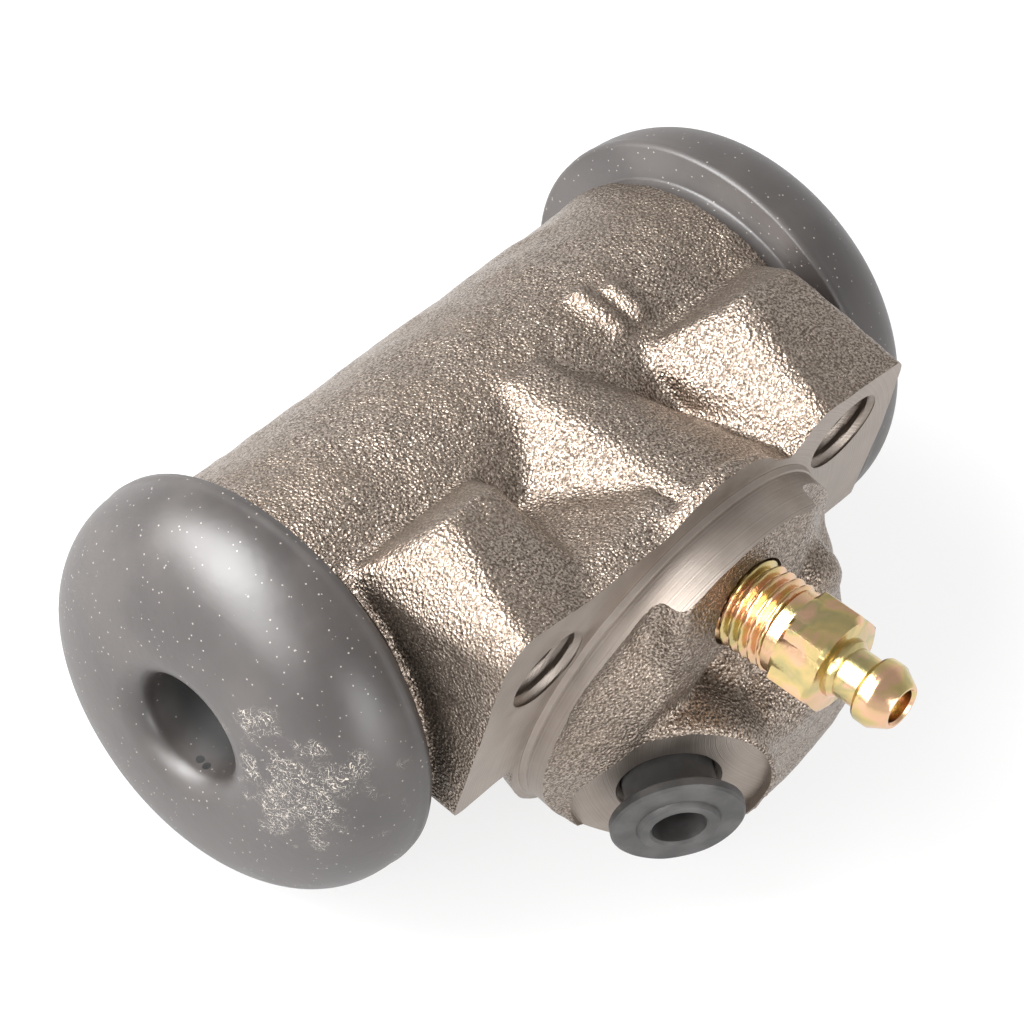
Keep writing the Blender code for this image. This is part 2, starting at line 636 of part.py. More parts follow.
def make_bleeder():
    """The bleeder screw: seat, thread, hexagon and a barbed nipple, bored from its tip."""
    floor = BLEEDER_BOSS_REACH - BLEEDER_HOLE_DEPTH + GAP
    thread = BLEEDER_THREAD_DIAMETER / 2
    relief = BLEEDER_RELIEF_DIAMETER / 2
    neck = BLEEDER_NECK_DIAMETER / 2
    barb = BLEEDER_BARB_DIAMETER / 2
    tip = BLEEDER_TIP_DIAMETER / 2
    mouth = BLEEDER_MOUTH_DIAMETER / 2
    bore = BLEEDER_BORE_DIAMETER / 2
    seat = BLEEDER_SEAT_DIAMETER / 2
    collar = BLEEDER_COLLAR_DIAMETER / 2
    thread_top = BLEEDER_BOSS_REACH + BLEEDER_THREAD_SHOWN
    hex_bottom = thread_top + BLEEDER_RELIEF_LENGTH
    hex_top = hex_bottom + BLEEDER_HEX_LENGTH
    neck_top = hex_top + BLEEDER_NECK_LENGTH
    barb_top = neck_top + BLEEDER_BARB_LENGTH
    tip_top = barb_top + BLEEDER_TAPER_LENGTH
    seat_top = floor + BLEEDER_SEAT_LENGTH
    cross = seat_top - BLEEDER_CROSS_HOLE_DIAMETER
    profile = [
        (0.0, cross - bore),
        (bore, cross - bore / 2),
        (bore, tip_top - BLEEDER_MOUTH_DEPTH - (mouth - bore)),
        (mouth, tip_top - BLEEDER_MOUTH_DEPTH),
        (mouth, tip_top),
        (tip, tip_top),
        (barb, barb_top),
        (barb, neck_top),
        (neck, neck_top - (barb - neck) / 2),
        (neck, hex_top + BLEEDER_COLLAR_LENGTH),
        (collar, hex_top + BLEEDER_COLLAR_LENGTH),
        (collar, hex_top - BLEEDER_HEX_EDGE),
        (relief, hex_top - 2 * BLEEDER_HEX_EDGE),
        (relief, thread_top),
        (thread, thread_top - (thread - relief)),
        (thread, seat_top + (thread - seat)),
        (seat, seat_top),
        (seat, floor + seat / 2),
        (seat / 2, floor),
        (0.0, floor),
    ]
    screw = turned("bleeder_screw", profile, YELLOW_ZINC, 24)
    aimed(screw, BLEEDER_CENTRE, BLEEDER_DIRECTION)
    width = BLEEDER_THREAD_DIAMETER
    hole = drum("bleeder_cross_hole", BLEEDER_CROSS_HOLE_DIAMETER, -width, width, steps=16)
    aimed(hole, BLEEDER_CENTRE + BLEEDER_DIRECTION * cross, ALONG_BORE)
    combine(screw, [make_hexagon(hex_bottom, hex_top)], "UNION")
    return combine(screw, [hole], "DIFFERENCE")


def make_plug():
    """The rubber shipping plug: a stem with a sealing bead, a flange and a raised ring."""
    flange_top = SPOT_FACE_REACH + PLUG_STAND_OFF + PLUG_FLANGE_THICKNESS
    flange_bottom = flange_top - PLUG_FLANGE_THICKNESS
    stem_bottom = SPOT_FACE_REACH - PLUG_STEM_LENGTH
    stem = PLUG_STEM_DIAMETER / 2
    bead = PORT_DIAMETER / 2 - GAP
    flange = PLUG_FLANGE_DIAMETER / 2
    ring = PLUG_RING_DIAMETER / 2
    hole = PLUG_HOLE_DIAMETER / 2
    edge = PLUG_FLANGE_THICKNESS / 4
    profile = [
        (0.0, flange_top - PLUG_HOLE_DEPTH),
        (hole, flange_top - PLUG_HOLE_DEPTH),
        (hole, flange_top + PLUG_RING_HEIGHT),
        (ring - edge, flange_top + PLUG_RING_HEIGHT),
        (ring, flange_top),
        (flange - edge, flange_top),
        (flange, flange_top - edge),
        (flange, flange_bottom),
        (stem, flange_bottom),
        (stem, stem_bottom + 2 * PLUG_BEAD_WIDTH),
        (bead, stem_bottom + 1.5 * PLUG_BEAD_WIDTH),
        (bead, stem_bottom + PLUG_BEAD_WIDTH),
        (stem - edge, stem_bottom),
        (0.0, stem_bottom),
    ]
    plug = turned("inlet_plug", profile, PLUG_RUBBER, 32)
    return aimed(plug, BOSS_CENTRE, INLET_DIRECTION)


make_body()
make_spring()
make_bleeder()
make_plug()
for end in (-1, 1):
    make_boot(end)
    make_piston(end)
    make_cup(end)
    make_expander(end)
for piece in PIECES.objects:
    if piece.type == "MESH":
        piece.data.shade_smooth()
        piece.data.set_sharp_from_angle(angle=math.radians(35))
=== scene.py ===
"""Wheel cylinder of a drum brake, dressed for its picture on a white studio floor."""

import json
import math

import bmesh
import bpy
from mathutils import Matrix, Vector, noise

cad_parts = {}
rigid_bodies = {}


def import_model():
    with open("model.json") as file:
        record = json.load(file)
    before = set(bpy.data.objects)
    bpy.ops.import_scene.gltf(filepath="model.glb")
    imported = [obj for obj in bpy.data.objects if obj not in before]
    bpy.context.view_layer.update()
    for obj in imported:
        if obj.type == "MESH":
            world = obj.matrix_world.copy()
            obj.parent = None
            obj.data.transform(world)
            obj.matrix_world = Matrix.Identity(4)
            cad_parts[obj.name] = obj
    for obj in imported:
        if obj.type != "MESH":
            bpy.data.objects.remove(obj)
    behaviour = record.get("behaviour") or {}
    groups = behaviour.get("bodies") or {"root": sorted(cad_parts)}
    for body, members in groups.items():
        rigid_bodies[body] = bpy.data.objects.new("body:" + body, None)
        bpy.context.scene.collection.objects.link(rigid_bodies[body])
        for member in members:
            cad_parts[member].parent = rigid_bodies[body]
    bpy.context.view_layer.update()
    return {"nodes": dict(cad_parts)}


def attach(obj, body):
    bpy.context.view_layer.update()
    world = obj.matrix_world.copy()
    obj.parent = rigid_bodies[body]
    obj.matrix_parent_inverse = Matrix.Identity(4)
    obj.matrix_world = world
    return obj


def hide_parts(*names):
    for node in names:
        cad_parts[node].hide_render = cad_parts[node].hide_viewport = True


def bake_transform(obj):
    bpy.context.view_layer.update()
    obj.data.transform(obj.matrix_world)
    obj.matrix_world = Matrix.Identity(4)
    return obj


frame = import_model()

# The studio
# A white floor and a white surround, with soft boxes above. The cylinder lies on its boots, and
# the camera looks down on it over the near left boot.
FLOOR_HEIGHT = -0.0284
FLOOR_REACH = 1.5
FLOOR_WHITE = (0.95, 0.95, 0.95)
FLOOR_GLOW_SHARE = 0.75
CAMERA_PLACE = Vector((-0.302903, -0.130294, 0.431752))
CAMERA_AIM = Vector((0.54957, 0.27750, -0.78802))
CAMERA_ROLL = math.radians(19.6)
CAMERA_LENS = 173.42
HORIZON_LEVEL = 0.90
OVERHEAD_LEVEL = 0.50
LEVEL_HEIGHTS = (0.10, 0.75)
SOFT_BOXES = {
    "key": ((-0.44, 0.60, 0.65), 0.45, 0.36, 5.0),
    "side": ((-0.82, 0.22, 0.44), 0.45, 0.28, 1.6),
    "front": ((-0.25, -0.88, 0.40), 0.50, 0.28, 1.2),
}


def collection(name):
    made = bpy.data.collections.new(name)
    bpy.context.scene.collection.children.link(made)
    return made


def add_object(name, data, where):
    made = bpy.data.objects.new(name, data)
    where.objects.link(made)
    return made


def mesh_object(name, vertices, faces, where):
    mesh = bpy.data.meshes.new(name)
    mesh.from_pydata(vertices, [], faces)
    return add_object(name, mesh, where)


STUDIO = collection("studio")
camera = add_object("camera", bpy.data.cameras.new("camera"), STUDIO)
camera.data.lens = CAMERA_LENS
camera.data.sensor_width = 36.0
camera.data.clip_end = 10.0
facing = CAMERA_AIM.to_track_quat("-Z", "Y").to_matrix().to_4x4()
rolled = facing @ Matrix.Rotation(CAMERA_ROLL, 4, "Z")
camera.matrix_world = Matrix.Translation(CAMERA_PLACE) @ rolled
bpy.context.scene.camera = camera
bpy.context.scene.view_settings.view_transform = "Standard"

for name, (direction, distance, width, power) in SOFT_BOXES.items():
    lamp = add_object(name, bpy.data.lights.new(name, "AREA"), STUDIO)
    lamp.data.size = width
    lamp.data.energy = power
    toward = Vector(direction).normalized()
    turn = toward.to_track_quat("Z", "Y").to_matrix().to_4x4()
    lamp.matrix_world = Matrix.Translation(toward * distance) @ turn


class Finish:
    """One output of a shader node, which can be used in sums and products."""

    def __init__(self, tree, output=None):
        self.tree = tree
        self.output = output

    def node(self, kind, settings=None, inputs=None, output=0):
        """Add a node with its settings first, then the values or links of its sockets."""
        made = self.tree.nodes.new(kind)
        for name, value in (settings or {}).items():
            if name == "stops":
                for index, (place, color) in enumerate(value):
                    stops = made.color_ramp.elements
                    stop = stops[index] if index < 2 else stops.new(place)
                    stop.position = place
                    stop.color = (*color, 1.0)
            else:
                setattr(made, name, value)
        for name, value in (inputs or {}).items():
            if isinstance(value, Finish):
                self.tree.links.new(value.output, made.inputs[name])
            elif isinstance(value, tuple) and made.inputs[name].type == "RGBA":
                made.inputs[name].default_value = (*value, 1.0)
            else:
                made.inputs[name].default_value = value
        return Finish(self.tree, made.outputs[output])

    def maths(self, operation, *others):
        inputs = dict(enumerate((self, *others)))
        return self.node("ShaderNodeMath", {"operation": operation}, inputs)

    def __add__(self, other):
        return self.maths("ADD", other)

    def __sub__(self, other):
        return self.maths("SUBTRACT", other)

    def __mul__(self, other):
        return self.maths("MULTIPLY", other)

    def __gt__(self, other):
        return self.maths("GREATER_THAN", other)

    def __lt__(self, other):
        return self.maths("LESS_THAN", other)

    def __rsub__(self, other):
        return self.node("ShaderNodeMath", {"operation": "SUBTRACT"}, {0: other, 1: self})

    __radd__ = __add__
    __rmul__ = __mul__

    def clamped(self, low, high):
        """0 below low, 1 above high, and a smooth step between."""
        settings = {"interpolation_type": "SMOOTHSTEP"}
        return self.node("ShaderNodeMapRange", settings, {"Value": self, 1: low, 2: high})

    def mixed(self, start, end):
        """A colour from start to end as this value goes from 0 to 1."""
        inputs = {0: self, 6: start, 7: end}
        return self.node("ShaderNodeMix", {"data_type": "RGBA"}, inputs, 2)


surround = bpy.data.worlds.new("surround")
surround.use_nodes = True
bpy.context.scene.world = surround
surround.node_tree.nodes.clear()
sky = Finish(surround.node_tree)
toward_sky = sky.node("ShaderNodeTexCoord", output="Generated")
height = sky.node("ShaderNodeSeparateXYZ", inputs={"Vector": toward_sky}, output="Z")
glow = height.clamped(*LEVEL_HEIGHTS).mixed((HORIZON_LEVEL,) * 3, (OVERHEAD_LEVEL,) * 3)
light = sky.node("ShaderNodeBackground", inputs={"Color": glow, "Strength": 1.0})
sky_output = surround.node_tree.nodes.new("ShaderNodeOutputWorld")
surround.node_tree.links.new(light.output, sky_output.inputs["Surface"])


def new_material(name):
    """A material with its Principled shader and output, and a start for its other nodes."""
    material = bpy.data.materials.new(name)
    material.use_nodes = True
    return material, Finish(material.node_tree)


def set_shader(finish, **sockets):
    """Set or link the sockets of the material's Principled shader."""
    shader = finish.tree.nodes["Principled BSDF"]
    for name, value in sockets.items():
        socket = shader.inputs[name.replace("_", " ")]
        if isinstance(value, Finish):
            finish.tree.links.new(value.output, socket)
        else:
            socket.default_value = value


def make_floor():
    material, finish = new_material("studio_floor")
    rays = ("Is Camera Ray", "Is Glossy Ray", "Is Transmission Ray")
    seen, mirrored, through = [finish.node("ShaderNodeLightPath", output=ray) for ray in rays]
    diffuse = finish.node("ShaderNodeBsdfDiffuse", inputs={"Color": FLOOR_WHITE})
    glow = finish.node("ShaderNodeEmission", inputs={"Color": (1.0, 1.0, 1.0)})
    share = (seen + mirrored + through) * FLOOR_GLOW_SHARE
    surface = finish.node("ShaderNodeMixShader", inputs={0: share, 1: diffuse, 2: glow})
    out = finish.tree.nodes["Material Output"]
    finish.tree.links.new(surface.output, out.inputs["Surface"])
    corners = [(x * FLOOR_REACH, y * FLOOR_REACH, FLOOR_HEIGHT)
               for x, y in ((-1, -1), (1, -1), (1, 1), (-1, 1))]
    floor = mesh_object("floor", corners, [(0, 1, 2, 3)], STUDIO)
    floor.data.materials.append(material)


make_floor()

# The cast cylinder body
# One grey iron casting: barrel, ears, web, round pilot and tower. It is sand cast, and only the
# mounting face, pilot, spot face, holes and barrel ends are machined.
CASTING = collection("casting")
TOOLS = collection("machining")
VOXEL = 0.0005
FILLET_PASSES = 14
STOCK = 0.0012
CUT_REACH = 0.040
ALONG = Vector((1.0, 0.0, 0.0))
OUTWARD = Vector((0.0, -1.0, 0.0))

BORE_CENTRE = Vector((0.0, 0.0260, -0.0033))
BORE_RADIUS = 0.0143
BARREL_RADIUS = 0.0212
BARREL_END = 0.03475
SPIGOT_RADIUS = 0.0188
MARKS = ((0.0138, 0.0240, 0.0315), (0.0174, 0.0243, 0.0298))
MARK_HALF_WIDTH = 0.0009
MARK_HEIGHTS = (0.0150, 0.0187)

WEB_FOOT_RADIUS = 0.0248
WEB_BACK_RADIUS = 0.0160
WEB_BACK = 0.0290
WEB_ROOF = (
    (-0.0215, 0.0115), (-0.0127, 0.0178), (-0.0020, 0.0253), (0.0066, 0.0241),
    (0.0124, 0.0217), (0.0175, 0.0175), (0.0218, 0.0115),
)
WEB_CREST = (
    (-0.0020, 0.0275, 0.0188), (0.0026, 0.0275, 0.0188),
    (-0.0105, 0.0270, 0.0112), (0.0078, 0.0270, 0.0120),
)

EAR_FOOT = -0.0042
EAR_DRAFT = 0.0004
EAR_CREST_DEPTH = 0.0165
EAR_REAR_DEPTH = 0.0215
EAR_REAR_HEIGHT = 0.0175
LEFT_EAR_FRONT = (
    (-0.0338, 0.0235), (-0.0322, 0.0268), (-0.0313, 0.0272), (-0.0264, 0.0264), (-0.0190, 0.0248),
    (-0.0175, 0.0240), (-0.0140, 0.0190), (-0.0140, EAR_FOOT), (-0.0338, EAR_FOOT),
)
LEFT_EAR_CREST = (
    (-0.0338, 0.0180), (-0.0326, 0.0212), (-0.0292, 0.0250), (-0.0260, 0.0264), (-0.0196, 0.0254),
    (-0.0180, 0.0244), (-0.0140, 0.0185), (-0.0140, EAR_FOOT), (-0.0338, EAR_FOOT),
)
RIGHT_EAR_FRONT = (
    (0.0352, EAR_FOOT), (0.0350, 0.0070), (0.0336, 0.0140), (0.0330, 0.0216), (0.0322, 0.0228),
    (0.0180, 0.0249), (0.0170, 0.0243), (0.0140, 0.0200), (0.0140, EAR_FOOT),
)
RIGHT_EAR_CREST = (
    (0.0352, EAR_FOOT), (0.0350, 0.0070), (0.0336, 0.0140), (0.0330, 0.0210), (0.0318, 0.0230),
    (0.0236, 0.0246), (0.0208, 0.0238), (0.0136, 0.0172), (0.0136, EAR_FOOT),
)
EARS = {
    "ear_left": (LEFT_EAR_FRONT, LEFT_EAR_CREST),
    "ear_right": (RIGHT_EAR_FRONT, RIGHT_EAR_CREST),
}
EAR_FILL = (
    (-0.0230, -STOCK, 0.0250), (-0.0040, -STOCK, 0.0252), (-0.0230, 0.0040, 0.0244),
    (-0.0040, 0.0040, 0.0246), (-0.0230, 0.0135, 0.0165), (-0.0040, 0.0150, 0.0165),
    (-0.0230, 0.0185, 0.0130), (-0.0040, 0.0200, 0.0130), (-0.0230, -STOCK, 0.0100),
    (-0.0040, -STOCK, 0.0100),
)
BOLT_X = 0.0248
BOLT_Z = 0.0154

PILOT_RADIUS = 0.02315
PILOT_BASE = (-0.0020, 0.0030)
PILOT_FILLET = ((0.0010, 0.0), (0.0004, 0.0002), (0.0002, 0.0009), (0.0, 0.0010))
TOWER_CENTRE = Vector((0.0, 0.0, -0.0030))
TOWER_FOOT_RADIUS = PILOT_RADIUS + 0.0004
TOWER_TIP_RADIUS = 0.0150
TOWER_HEIGHTS = (0.0028, 0.0082)
CORE_CENTRE = Vector((0.0075, 0.0, -0.0110))
CORE_PROFILE = (
    (0.0088, 0.0168), (0.0108, 0.0162), (0.0121, 0.0147), (0.0127, 0.0128), (0.0184, 0.0062),
    (0.0219, 0.0020),
)
KNOB_CENTRE = Vector((0.0138, 0.0, 0.0032))
KNOB_PROFILE = ((0.0028, 0.0104), (0.0046, 0.0095), (0.0055, 0.0078), (0.0058, 0.0))
HOLLOW_DIRECTION = Vector((0.0, 1.0, -0.25)).normalized()
TOWER_HOLLOWS = (
    (Vector((-0.0010, -0.0090, 0.0030)), 0.0070, 0.0030),
    (Vector((0.0045, -0.0130, -0.0010)), 0.0060, 0.0030),
)

BOSS_CENTRE = Vector((0.0, 0.0, -0.0100))
INLET_DIRECTION = Vector((-0.6004, -0.7997, 0.0))
BOSS_RADIUS = 0.0120
BOSS_FOOT_RADIUS = BOSS_RADIUS + 0.0015
SPOT_FACE_AT = 0.0137
SPOT_FACE_RADIUS = 0.0113
BLEEDER_CENTRE = Vector((0.0, 0.0, 0.0127))
BLEEDER_DIRECTION = Vector((0.0, -0.98481, 0.17365))
BLEEDER_FACE_AT = 0.0073
BLEEDER_BOSS_PROFILE = (
    (0.0112, BLEEDER_FACE_AT), (0.0121, BLEEDER_FACE_AT - 0.0009), (0.0124, 0.0),
)
BLEEDER_BOSS_RISE = 0.0028
BLEEDER_HOLE_RADIUS = 0.0056
BLEEDER_HOLE = (-0.0052, BLEEDER_FACE_AT + 0.02)

TAP_DEPTH = 0.0006
BOLT_HOLE = {
    "radius": 0.00515, "crest": 0.0003, "pitch": 0.0015, "face": 0.0, "depth": 0.0145,
    "mouth": 0.0010, "mouth_depth": 0.0007,
}
INLET_PORT = {
    "radius": 0.0057, "crest": 0.0002, "pitch": 0.00127, "face": SPOT_FACE_AT, "depth": 0.0100,
    "mouth": 0.0014, "mouth_depth": 0.0010,
}

# Each wave of the sand skin is a width and a height.
SAND_WAVES = ((0.0062, 0.00026), (0.0026, 0.00012), (0.0012, 0.00004))
SAND_DARK = (0.105, 0.079, 0.061)
SAND_BRIGHT = (0.45, 0.377, 0.318)
SAND_BROWN = (0.25, 0.195, 0.152)
CUT_DARK = (0.285, 0.242, 0.208)
CUT_BRIGHT = (0.38, 0.332, 0.295)


def aimed(obj, centre, direction):
    """Turn a piece made along Z so that it points in a direction from a centre."""
    turn = direction.to_track_quat("Z", "Y").to_matrix().to_4x4()
    obj.data.transform(Matrix.Translation(centre) @ turn)
    return obj


def turned(name, profile, where, steps=64, ring=False, twist=None):
    """Turn (radius, height) points about Z. A ring's profile closes on itself, and others get
    flat ends. A twist gives a point's radius from its radius, height and angle."""
    vertices = []
    faces = []
    for radius, height in profile:
        for step in range(steps):
            angle = 2 * math.pi * step / steps
            r = twist(radius, height, angle) if twist else radius
            vertices.append((r * math.cos(angle), r * math.sin(angle), height))
    for row in range(len(profile) - (0 if ring else 1)):
        for step in range(steps):
            other = (step + 1) % steps
            a = row * steps
            b = (row + 1) % len(profile) * steps
            faces.append((a + step, b + step, b + other, a + other))
    if not ring:
        last = (len(profile) - 1) * steps
        faces.append(tuple(range(steps)))
        faces.append(tuple(last + step for step in reversed(range(steps))))
    return mesh_object(name, vertices, faces, where)


def rod(name, radius, low, high, tip_radius=None, where=CASTING, steps=64):
    return turned(name, [(tip_radius or radius, high), (radius, low)], where, steps)


def shape_object(name, shape, where):
    """An object from an edited shape, which is freed."""
    mesh = bpy.data.meshes.new(name)
    shape.to_mesh(mesh)
    shape.free()
    return add_object(name, mesh, where)


def hull(name, points):
    shape = bmesh.new()
    for point in points:
        shape.verts.new(point)
    bmesh.ops.convex_hull(shape, input=shape.verts)
    return shape_object(name, shape, CASTING)


def thread_share(place, pitch, flat=0.12, flank=0.72):
    """0 at the bottom of a thread and 1 on its crest, with flats on both."""
    share = abs((place / pitch) % 1.0 - 0.5) * 2
    return min(max((share - flat) / flank, 0.0), 1.0)


def threaded(name, radius, depth, pitch, low, high, where, steps=48, per_turn=8):
    """A rod with a right-hand thread of this depth below its radius."""
    rows = max(2, round((high - low) / pitch * per_turn))
    profile = [(radius, high + (low - high) * row / rows) for row in range(rows + 1)]

    def thread(size, height, angle):
        place = height - pitch * angle / (2 * math.pi)
        return size - depth * (1 - thread_share(place, pitch))

    return turned(name, profile, where, steps, False, thread)


def web_points():
    """The web's round foot, its smaller back on the barrel, and its roof and crest."""
    under = [math.radians(angle) for angle in range(180, 361, 10)]
    points = []
    for radius, depth in ((WEB_FOOT_RADIUS, -STOCK), (WEB_BACK_RADIUS, WEB_BACK)):
        points += [(radius * math.cos(a), depth, radius * math.sin(a)) for a in under]
    points += [(x, -STOCK, z) for x, z in WEB_ROOF]
    return points + list(WEB_CREST)


def make_blank():
    """The raw casting before machining, as rough shapes that overlap."""
    barrel = rod("barrel", BARREL_RADIUS, -BARREL_END - STOCK, BARREL_END + STOCK, steps=96)
    parts = [aimed(barrel, BORE_CENTRE, ALONG), hull("web", web_points())]
    for name, (front, crest) in EARS.items():
        points = [(x, -STOCK, z - EAR_DRAFT) for x, z in front]
        points += [(x, EAR_CREST_DEPTH, z) for x, z in crest]
        points += [(x, EAR_REAR_DEPTH, min(z, EAR_REAR_HEIGHT)) for x, z in crest]
        parts.append(hull(name, points))
    parts.append(hull("ear_fill", EAR_FILL))
    for index, (place, low, high) in enumerate(MARKS):
        bar = [(place + x, y, z) for x in (-MARK_HALF_WIDTH, MARK_HALF_WIDTH) for y in (low, high)
               for z in MARK_HEIGHTS]
        parts.append(hull(f"mark_{index}", bar))
    base = rod("pilot_base", PILOT_RADIUS + STOCK, *PILOT_BASE)
    cone = rod("tower_cone", TOWER_FOOT_RADIUS, *TOWER_HEIGHTS, TOWER_TIP_RADIUS)
    boss = rod("inlet_boss", BOSS_FOOT_RADIUS, 0.0, SPOT_FACE_AT + STOCK, BOSS_RADIUS)
    parts.append(aimed(base, Vector(), OUTWARD))
    parts.append(aimed(cone, TOWER_CENTRE, OUTWARD))
    parts.append(aimed(boss, BOSS_CENTRE, INLET_DIRECTION))
    parts.append(aimed(turned("core", CORE_PROFILE, CASTING), CORE_CENTRE, OUTWARD))
    parts.append(aimed(turned("knob", KNOB_PROFILE, CASTING), KNOB_CENTRE, OUTWARD))
    for name, rise in (("bleeder_boss", 0.0), ("bleeder_boss_crest", BLEEDER_BOSS_RISE)):
        middle = BLEEDER_CENTRE + Vector((0.0, 0.0, rise))
        seat = turned(name, BLEEDER_BOSS_PROFILE, CASTING)
        parts.append(aimed(seat, middle, BLEEDER_DIRECTION))
    return parts


def joined(name, parts, where):
    """One mesh of several overlapping shapes."""
    shape = bmesh.new()
    for part in parts:
        shape.from_mesh(part.data)
        bpy.data.objects.remove(part)
    bmesh.ops.recalc_face_normals(shape, faces=shape.faces)
    return shape_object(name, shape, where)


def apply_modifiers(obj):
    bpy.context.view_layer.update()
    scene_state = bpy.context.evaluated_depsgraph_get()
    mesh = bpy.data.meshes.new_from_object(obj.evaluated_get(scene_state))
    obj.modifiers.clear()
    obj.data = mesh


def press(obj, hollows):
    """Press smooth hollows into a mesh. Each has a centre, a radius and a depth."""
    for vertex in obj.data.vertices:
        for centre, radius, depth in hollows:
            share = 1.0 - (vertex.co - centre).length / radius
            if share > 0:
                vertex.co += HOLLOW_DIRECTION * depth * share * share * (3 - 2 * share)
    obj.data.update()


def roughen(obj, waves):
    """Push a mesh in and out along its normals by noise of several widths."""
    places = [vertex.co.copy() for vertex in obj.data.vertices]
    normals = [vertex.normal.copy() for vertex in obj.data.vertices]
    moved = []
    for place, normal in zip(places, normals):
        push = sum(height * noise.noise(place / width) for width, height in waves)
        moved.extend(place + normal * push)
    obj.data.vertices.foreach_set("co", moved)
    obj.data.update()


def smoothed(obj, degrees):
    """Smooth shading, with sharp edges where two faces meet at more than this angle."""
    obj.data.shade_smooth()
    obj.data.set_sharp_from_angle(angle=math.radians(degrees))


def tap(name, centre, direction, radius, crest, pitch, face, depth, mouth, mouth_depth):
    """A threaded cutter, and the cone that opens its mouth at the face."""
    low = face - depth
    high = face + STOCK
    thread = threaded(f"{name}_thread", radius + crest, TAP_DEPTH, pitch, low, high, TOOLS)
    cone = rod(f"{name}_mouth", radius - TAP_DEPTH, face - mouth_depth, high, radius + mouth, TOOLS)
    return [aimed(thread, centre, direction), aimed(cone, centre, direction)]


def make_cutters():
    """The machining: mounting face, barrel ends, bolt holes, bore, spot face, port and bleeder."""
    wide = 3 * CUT_REACH
    far = 2 * CUT_REACH
    ring = [(PILOT_RADIUS, CUT_REACH), (wide, CUT_REACH), (wide, 0.0)]
    ring += [(PILOT_RADIUS + out, rise) for out, rise in PILOT_FILLET]
    cuts = [aimed(turned("face_cut", ring, TOOLS, 160, True), Vector(), OUTWARD)]
    for side in (-1, 1):
        end = [(SPIGOT_RADIUS, far), (far, far), (far, BARREL_END), (SPIGOT_RADIUS, BARREL_END)]
        end_cut = turned(f"end_cut_{side}", end, TOOLS, 96, True)
        cuts.append(aimed(end_cut, BORE_CENTRE, side * ALONG))
        cuts += tap(f"bolt_{side}", Vector((side * BOLT_X, 0.0, BOLT_Z)), OUTWARD, **BOLT_HOLE)
    half = CUT_REACH * 1.5
    bore = rod("bore_cut", BORE_RADIUS, -half, half, where=TOOLS, steps=96)
    spot = rod("spot_cut", SPOT_FACE_RADIUS, SPOT_FACE_AT, 2 * SPOT_FACE_AT, where=TOOLS, steps=96)
    cuts.append(aimed(bore, BORE_CENTRE, ALONG))
    cuts.append(aimed(spot, BOSS_CENTRE, INLET_DIRECTION))
    cuts += tap("port", BOSS_CENTRE, INLET_DIRECTION, **INLET_PORT)
    hole = rod("bleeder_cut", BLEEDER_HOLE_RADIUS, *BLEEDER_HOLE, where=TOOLS, steps=48)
    cuts.append(aimed(hole, BLEEDER_CENTRE, BLEEDER_DIRECTION))
    return cuts


def cast_iron():
    """Sand-cast skin: warm grey-brown metal with a coarse sparkling grain and darker pits."""
    material, finish = new_material("cast_iron_skin")
    spot = finish.node("ShaderNodeTexCoord", output="Object")
    clouds = finish.node("ShaderNodeTexNoise", inputs={"Vector": spot, "Scale": 110.0, "Detail": 3.0})
    grain = finish.node("ShaderNodeTexNoise", inputs={"Vector": spot, "Scale": 3700.0, "Detail": 4.0})
    pits = finish.node("ShaderNodeTexVoronoi", inputs={"Vector": spot, "Scale": 2500.0})
    tone = grain.clamped(0.38, 0.64)
    warm = clouds.clamped(0.35, 0.7)
    color = (warm * 0.35).mixed(tone.mixed(SAND_DARK, SAND_BRIGHT), SAND_BROWN)
    height = grain * 0.6 + pits * 0.75 + clouds * 0.4
    bump = finish.node("ShaderNodeBump", inputs={"Height": height, "Strength": 0.68, "Distance": 0.0003})
    rough = 0.38 - tone * 0.12
    set_shader(finish, Base_Color=color, Roughness=rough, Metallic=0.92, Normal=bump)
    return material


def machined_iron():
    """Turned iron: smoother and greyer, with fine rings round the pilot."""
    material, finish = new_material("machined_iron")
    spot = finish.node("ShaderNodeTexCoord", output="Object")
    across, deep, up = [
        finish.node("ShaderNodeSeparateXYZ", inputs={"Vector": spot}, output=axis) for axis in "XYZ"
    ]
    radius = (across * across + up * up).maths("SQRT")
    marks = finish.node("ShaderNodeTexNoise", {"noise_dimensions": "1D"},
                        {"W": (radius + deep) * 5200.0, "Scale": 1.0, "Detail": 3.0})
    clouds = finish.node("ShaderNodeTexNoise", inputs={"Vector": spot, "Scale": 260.0, "Detail": 5.0})
    streaks = clouds * 0.5 + marks * 0.5
    color = streaks.clamped(0.3, 0.72).mixed(CUT_DARK, CUT_BRIGHT)
    height = marks + clouds * 0.6
    bump = finish.node("ShaderNodeBump", inputs={"Height": height, "Strength": 0.35, "Distance": 0.0001})
    rough = 0.36 + clouds * 0.2
    set_shader(finish, Base_Color=color, Roughness=rough, Metallic=0.92, Normal=bump)
    return material


